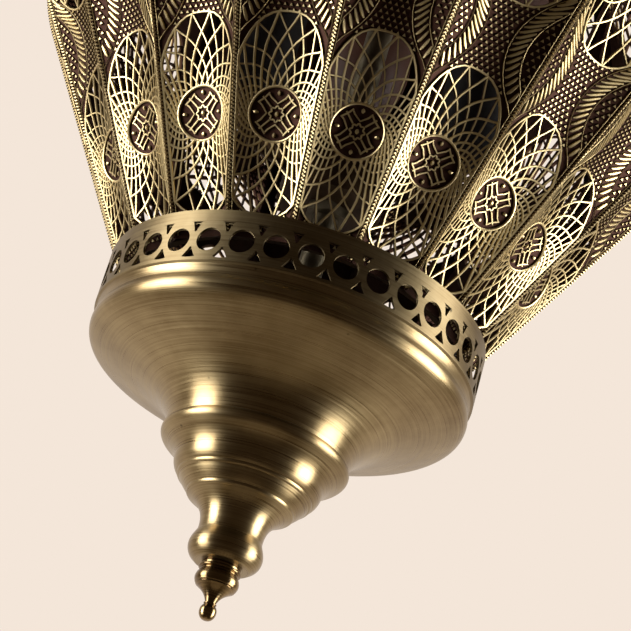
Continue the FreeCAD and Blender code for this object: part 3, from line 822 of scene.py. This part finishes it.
def band_cell(bm, cell_width, hole_r):
    """One cell of the gallery band, flat in mm: a round hole, and half triangles at the sides."""
    def ring(points):
        verts = [bm.verts.new((px, pz, 0)) for px, pz in points]
        return [bm.edges.new((verts[i], verts[(i + 1) % len(verts)])) for i in range(len(verts))]

    half = cell_width / 2
    hole = [(hole_r * math.cos(math.tau * i / 32), hole_r * math.sin(math.tau * i / 32)) for i in range(32)]
    low = [(-half + cell_width * i / CELL_STEPS, BAND_FOOT) for i in range(CELL_STEPS + 1)]
    high = [(half - cell_width * i / CELL_STEPS, BAND_TOP) for i in range(CELL_STEPS + 1)]
    side = []
    for z, flip in TRIANGLE_ROWS:
        points = [p for p in rounded_triangle(0, z, flip) if p[0] < -0.01]
        side.append(sorted(points, key=lambda p: p[1]))
    right = []
    for group in side:
        foot, top = group[0][1], group[-1][1]
        right += [(half, foot - 0.12)] + [(half + px, pz) for px, pz in group] + [(half, top + 0.02)]
    left = [(-p[0], p[1]) for p in reversed(right)]
    edges = ring(hole) + ring(low + right + high + left)
    bmesh.ops.triangle_fill(bm, edges=edges, use_beauty=True, use_dissolve=False)


def gallery_band(bm, settings):
    """The pierced band: one cell, bent round the axis and repeated by a spin."""
    cell = bmesh.new()
    width = math.tau * BAND_R / settings.gallery_holes
    band_cell(cell, width, settings.hole_r / MM)
    for vert in cell.verts:
        a = vert.co.x / BAND_R + GALLERY_TURN
        vert.co = Vector((BAND_R * math.sin(a), -BAND_R * math.cos(a), GALLERY + vert.co.y)) * MM
    holder = bpy.data.meshes.new("cell")
    cell.to_mesh(holder)
    cell.free()
    bm.from_mesh(holder)
    bpy.data.meshes.remove(holder)
    bmesh.ops.spin(bm, geom=list(bm.verts) + list(bm.edges) + list(bm.faces), cent=(0, 0, 0), axis=(0, 0, 1),
                   angle=math.tau, steps=settings.gallery_holes, use_duplicate=True, use_merge=True)
    bmesh.ops.remove_doubles(bm, verts=bm.verts, dist=2e-6)


def on_cylinder(points, h):
    """Flat (x, z) points in mm carried onto the band, h mm proud of it."""
    made = []
    for x, z in points:
        a = x / BAND_R
        made.append(((BAND_R + h) * math.sin(a) * MM, -(BAND_R + h) * math.cos(a) * MM, (GALLERY + z) * MM))
    return made


def hole_rims(settings):
    """Fine rolled edges round the gallery's holes and triangles."""
    paths = []
    rim_r = settings.hole_r / MM + 0.1
    step = math.tau * BAND_R / settings.gallery_holes
    for i in range(settings.gallery_holes):
        x = GALLERY_TURN * BAND_R + i * step
        circle = [(x + rim_r * math.cos(math.tau * k / 28), rim_r * math.sin(math.tau * k / 28))
                  for k in range(28)]
        paths.append((on_cylinder(circle, -RIM_INSET), True))
        for z, flip in TRIANGLE_ROWS:
            triangle = rounded_triangle(x + step / 2, z, flip)
            paths.append((on_cylinder(triangle, -RIM_INSET), True))
    return wires(paths, RIM_WIRE * MM, 1)


class LANTERN_OT_bottom_cap(bpy.types.Operator):
    """Make the bottom cap: gallery band, bowl, column and collar"""
    bl_idname = "lantern.bottom_cap"
    bl_label = "Bottom cap"

    def execute(self, context):
        settings = context.scene.lantern_caps
        bm = bmesh.new()
        gallery_band(bm, settings)
        outline = outline_of(BOWL_RUNS, GALLERY, 3)
        spin_outline(bm, outline, settings.gallery_holes * CELL_STEPS, GALLERY_TURN)
        bmesh.ops.remove_doubles(bm, verts=bm.verts, dist=2e-5)
        bmesh.ops.recalc_face_normals(bm, faces=bm.faces)
        bmesh.ops.solidify(bm, geom=list(bm.faces), thickness=-settings.sheet)
        bmesh.ops.recalc_face_normals(bm, faces=bm.faces)
        rims = hole_rims(settings)
        bm.from_mesh(rims)
        bpy.data.meshes.remove(rims)
        mesh = to_mesh(bm, "gallery_cap", 30.0)
        finish_piece("gallery_cap", mesh, "cap", "bottom_cap", "cap_brass", "bottom_cap")
        return {"FINISHED"}


FINIAL_TOP = -92.3
FINIAL_RUNS = [
    [(0, FINIAL_TOP), (7.4, FINIAL_TOP)],
    [(7.4, FINIAL_TOP), (7.7, -92.6), (7.7, -93.0), (7.3, -93.3)],
    [(7.3, -93.3), (6.7, -93.6), (6.9, -94.1)],
    [(6.9, -94.1), (7.6, -95.0), (8.0, -96.4), (7.9, -97.6), (7.5, -98.5)],
    [(7.5, -98.5), (6.9, -98.9), (7.1, -99.2)],
    [(7.1, -99.2), (5.4, -100.3), (3.9, -101.6), (2.7, -103.2), (1.9, -105.0)],
    [(1.9, -105.0), (2.35, -105.3), (2.1, -105.8)],
    [(2.1, -105.8), (2.9, -107.0), (3.1, -108.5), (2.7, -110.0), (1.6, -111.2), (0, -111.55)],
]
WASHER_RUNS = [
    [(5.1, -90.1), (6.8, -90.1)],
    [(6.8, -90.1), (7.05, -90.6), (7.05, -91.7), (6.8, -92.2)],
    [(6.8, -92.2), (5.1, -92.2)],
    [(5.1, -92.2), (5.1, -90.1)],
]


class LANTERN_OT_finial(bpy.types.Operator):
    """Make the finial and its washer"""
    bl_idname = "lantern.finial"
    bl_label = "Finial"

    def execute(self, context):
        finial = lathe("turned_finial", FINIAL_RUNS, GALLERY, 96, 6)
        finish_piece("turned_finial", finial, "finial", "finial", "finial_bronze", "finial")
        washer = lathe("turned_washer", WASHER_RUNS, GALLERY, 96, 4)
        finish_piece("turned_washer", washer, "finial", "finial_washer", "finial_bronze", "finial_washer")
        return {"FINISHED"}


# ---- chain, canopy, top and lamps ----
LINKS = [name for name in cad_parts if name.startswith("chain_link_")]
LINK_WIRE = 2.0
WELD_NECK = 0.06               # how much thinner the wire is at a link's weld


def link_path(name):
    """Centre line of a link, with the small neck of its weld halfway up one side."""
    low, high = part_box(name)
    across_x = high.x - low.x > high.y - low.y
    half = (max(high.x, high.y) / MM) - LINK_WIRE
    foot, top = low.z / MM + LINK_WIRE + half, high.z / MM - LINK_WIRE - half
    flat = [(half * math.cos(a), top + half * math.sin(a)) for a in np.linspace(0, math.pi, 25)]
    flat += [(half * math.cos(a), foot + half * math.sin(a)) for a in np.linspace(math.pi, math.tau, 25)]
    weld = [(half, foot + (top - foot) * t) for t in (0.42, 0.47, 0.5, 0.53, 0.58)]
    shares = [1.0] * len(flat) + [1.0, 1.0, 1.0 - WELD_NECK, 1.0, 1.0]
    points = []
    for (u, z), share in zip(flat + weld, shares):
        x, y = (u, 0.0) if across_x else (0.0, u)
        points.append((x * MM, y * MM, z * MM, share))
    return points, True


class LANTERN_OT_chain(bpy.types.Operator):
    """Make the welded links of the chain and finish its two loops"""
    bl_idname = "lantern.chain"
    bl_label = "Chain"

    def execute(self, context):
        for name in LINKS:
            mesh = wires([link_path(name)], LINK_WIRE * MM, 4)
            mesh.shade_smooth()
            finish_piece("welded_%s" % name, mesh, "chain", name, "chain_brass", name)
        dress("chain", "canopy_loop", "top_loop")
        return {"FINISHED"}


class LANTERN_OT_canopy(bpy.types.Operator):
    """Finish the ceiling canopy and the fittings inside it"""
    bl_idname = "lantern.canopy"
    bl_label = "Canopy"

    def execute(self, context):
        dress("cap", "ceiling_canopy")
        dress("steel", "canopy_bracket", "canopy_nipple", "canopy_nut")
        dress("phenolic", "terminal_block")
        return {"FINISHED"}


class LANTERN_OT_top(bpy.types.Operator):
    """Finish the top cap and the rings, spider, rod and nuts that hold the shade"""
    bl_idname = "lantern.top"
    bl_label = "Top cap and frame"

    def execute(self, context):
        dress("cap", "top_cap")
        dress("steel", "top_locknut", "top_spider", "centre_rod", "rod_locknuts")
        # the shade's rings take the dark inner finish: tarnish and painted shade
        dress("inner", "shade_bottom_ring", "shade_top_ring")
        return {"FINISHED"}


class LANTERN_OT_lamps(bpy.types.Operator):
    """Finish the lamp cluster and its bulbs"""
    bl_idname = "lantern.lamps"
    bl_label = "Lamps"

    def execute(self, context):
        # the cluster takes the dark inner finish: tarnish and painted shade
        dress("inner", "cluster_body", "cluster_cover", "socket_arms")
        for number in range(1, 4):
            dress("phenolic", "lamp_holder_%d" % number)
            dress("base", "bulb_base_%d" % number)
            dress("glass", "bulb_glass_%d" % number)
        return {"FINISHED"}


# ---- stage ----
CAMERA_LENS = 137.4
CAMERA_SHIFT = (-0.007, 0.0093)
AIM = (0.00905, 0.01214)       # aim point beside and above the hole ring's centre
SOFTBOX_AZIMUTH = 82.0
SOFTBOX_DISTANCE = 1.7
SOFTBOX_SIZE = (0.9, 3.2)
SOFTBOX_RISE = 0.0
SOFTBOX_SPREAD = 75.0          # keeps the light off the floor
FLOOR_R = 0.6
FLOOR_Z = -2.6


def around(distance, azimuth, rise):
    """Place at an azimuth in degrees from the front, counted towards +X, beside the gallery."""
    a = math.radians(azimuth)
    return Vector((distance * math.sin(a), -distance * math.cos(a), GALLERY * MM + rise))


def link_new(name, data):
    made = bpy.data.objects.new(name, data)
    bpy.context.scene.collection.objects.link(made)
    return made


def add_softbox(azimuth, power):
    light = bpy.data.lights.new("softbox", "AREA")
    light.shape = "RECTANGLE"
    light.size, light.size_y = SOFTBOX_SIZE
    light.energy = power
    lamp = link_new("softbox", light)
    light.spread = math.radians(SOFTBOX_SPREAD)
    lamp.location = around(SOFTBOX_DISTANCE, azimuth, SOFTBOX_RISE)
    toward = around(0, 0, 0) - lamp.location
    lamp.rotation_euler = toward.to_track_quat("-Z", "Y").to_euler()


def studio_world(settings):
    """Plain backdrop for the camera, and for reflections a room that is bright behind and dark in front."""
    world = bpy.data.worlds.new("studio")
    world.use_nodes = True
    tree = world.node_tree
    seen = tree.nodes["Background"]
    seen.inputs["Color"].default_value = settings.backdrop
    way = add(tree, "ShaderNodeTexCoord", {}).outputs["Generated"]
    parts = add(tree, "ShaderNodeSeparateXYZ", {0: way}).outputs
    depth = add(tree, "ShaderNodeMapRange", {"Value": parts["Y"], "From Min": -0.2,
                                             "From Max": 0.65}).outputs[0]
    stops = [(0.0, settings.front), (0.55, settings.side), (0.95, settings.backdrop)]
    tone = add(tree, "ShaderNodeValToRGB", {"Fac": depth}, stops).outputs[0]
    rise = add(tree, "ShaderNodeMapRange", {"Value": parts["Z"], "From Min": 0.3,
                                            "From Max": 0.75}).outputs[0]
    ceiling = add(tree, "ShaderNodeValToRGB", {"Fac": rise}, [(0.0, 1.0), (1.0, 0.7)]).outputs[0]
    colour = add(tree, "ShaderNodeVectorMath", {0: tone, 1: ceiling}, operation="MULTIPLY").outputs[0]
    room = add(tree, "ShaderNodeBackground", {"Color": colour})
    direct = add(tree, "ShaderNodeLightPath", {}).outputs["Is Camera Ray"]
    both = add(tree, "ShaderNodeMixShader", {0: direct})
    tree.links.new(room.outputs[0], both.inputs[1])
    tree.links.new(seen.outputs[0], both.inputs[2])
    tree.links.new(both.outputs[0], tree.nodes["World Output"].inputs["Surface"])
    return world


def stage_floor(colour):
    """Round floor far below the lantern, in matt paint with a faint roller texture."""
    bm = bmesh.new()
    bmesh.ops.create_circle(bm, cap_ends=True, segments=96, radius=FLOOR_R)
    bmesh.ops.translate(bm, verts=bm.verts, vec=(0, 0, FLOOR_Z))
    mesh = bpy.data.meshes.new("floor")
    bm.to_mesh(mesh)
    bm.free()
    made, tree, shader, place = new_material("rolled matt paint")
    shader.inputs["Base Color"].default_value = colour
    shader.inputs["Roughness"].default_value = 0.9
    stipple = add(tree, "ShaderNodeTexNoise", {"Vector": place, "Scale": per_metre(2.5),
                                               "Detail": 2.0}).outputs["Fac"]
    bump = add(tree, "ShaderNodeBump", {"Height": stipple, "Strength": 0.1, "Distance": 0.0005})
    tree.links.new(bump.outputs[0], shader.inputs["Normal"])
    mesh.materials.append(made)
    link_new("floor", mesh)


class LANTERN_OT_stage(bpy.types.Operator):
    """Set the camera, the soft lights, the floor and the backdrop"""
    bl_idname = "lantern.stage"
    bl_label = "Stage"

    def execute(self, context):
        settings = context.scene.lantern_stage
        camera = bpy.data.cameras.new("camera")
        camera.lens = CAMERA_LENS
        camera.sensor_width = 36.0
        camera.shift_x, camera.shift_y = CAMERA_SHIFT
        camera.clip_end = 100.0
        view = link_new("camera", camera)
        e = settings.elevation
        turn = Matrix.Rotation(settings.azimuth, 4, "Z")
        view.location = turn @ around(settings.distance * math.cos(e), 0, -settings.distance * math.sin(e))
        aim = turn @ (around(0, 0, AIM[1]) + Vector((AIM[0], 0, 0)))
        level = (aim - view.location).to_track_quat("-Z", "Y")
        view.rotation_mode = "QUATERNION"
        view.rotation_quaternion = level @ Matrix.Rotation(settings.roll, 3, "Z").to_quaternion()
        context.scene.camera = view
        context.scene.world = studio_world(settings)
        context.scene.view_settings.view_transform = "Standard"
        stage_floor(settings.floor)
        for side in (-1, 1):
            add_softbox(side * SOFTBOX_AZIMUTH, settings.softbox_power)
        return {"FINISHED"}


# ---- panel and registration ----
STEPS = [LANTERN_OT_petals, LANTERN_OT_bottom_cap, LANTERN_OT_finial, LANTERN_OT_chain, LANTERN_OT_canopy,
         LANTERN_OT_top, LANTERN_OT_lamps, LANTERN_OT_stage]


class LANTERN_PT_panel(bpy.types.Panel):
    """Lists the steps that build the lantern"""
    bl_label = "Hanging lantern"
    bl_idname = "LANTERN_PT_panel"
    bl_space_type = "VIEW_3D"
    bl_region_type = "UI"
    bl_category = "Lantern"

    def draw(self, context):
        for step in STEPS:
            self.layout.operator(step.bl_idname)


SETTINGS = {
    "lantern_petals": LanternPetalSettings,
    "lantern_caps": LanternCapSettings,
    "lantern_stage": LanternStageSettings,
}
CLASSES = [*SETTINGS.values(), *STEPS, LANTERN_PT_panel]


def register():
    for cls in CLASSES:
        bpy.utils.register_class(cls)
    for name, group in SETTINGS.items():
        setattr(bpy.types.Scene, name, bpy.props.PointerProperty(type=group))


def unregister():
    for name in SETTINGS:
        delattr(bpy.types.Scene, name)
    for cls in reversed(CLASSES):
        bpy.utils.unregister_class(cls)


def main():
    register()
    for step in STEPS:
        group, name = step.bl_idname.split(".")
        getattr(getattr(bpy.ops, group), name)()


if __name__ == "__main__":
    main()
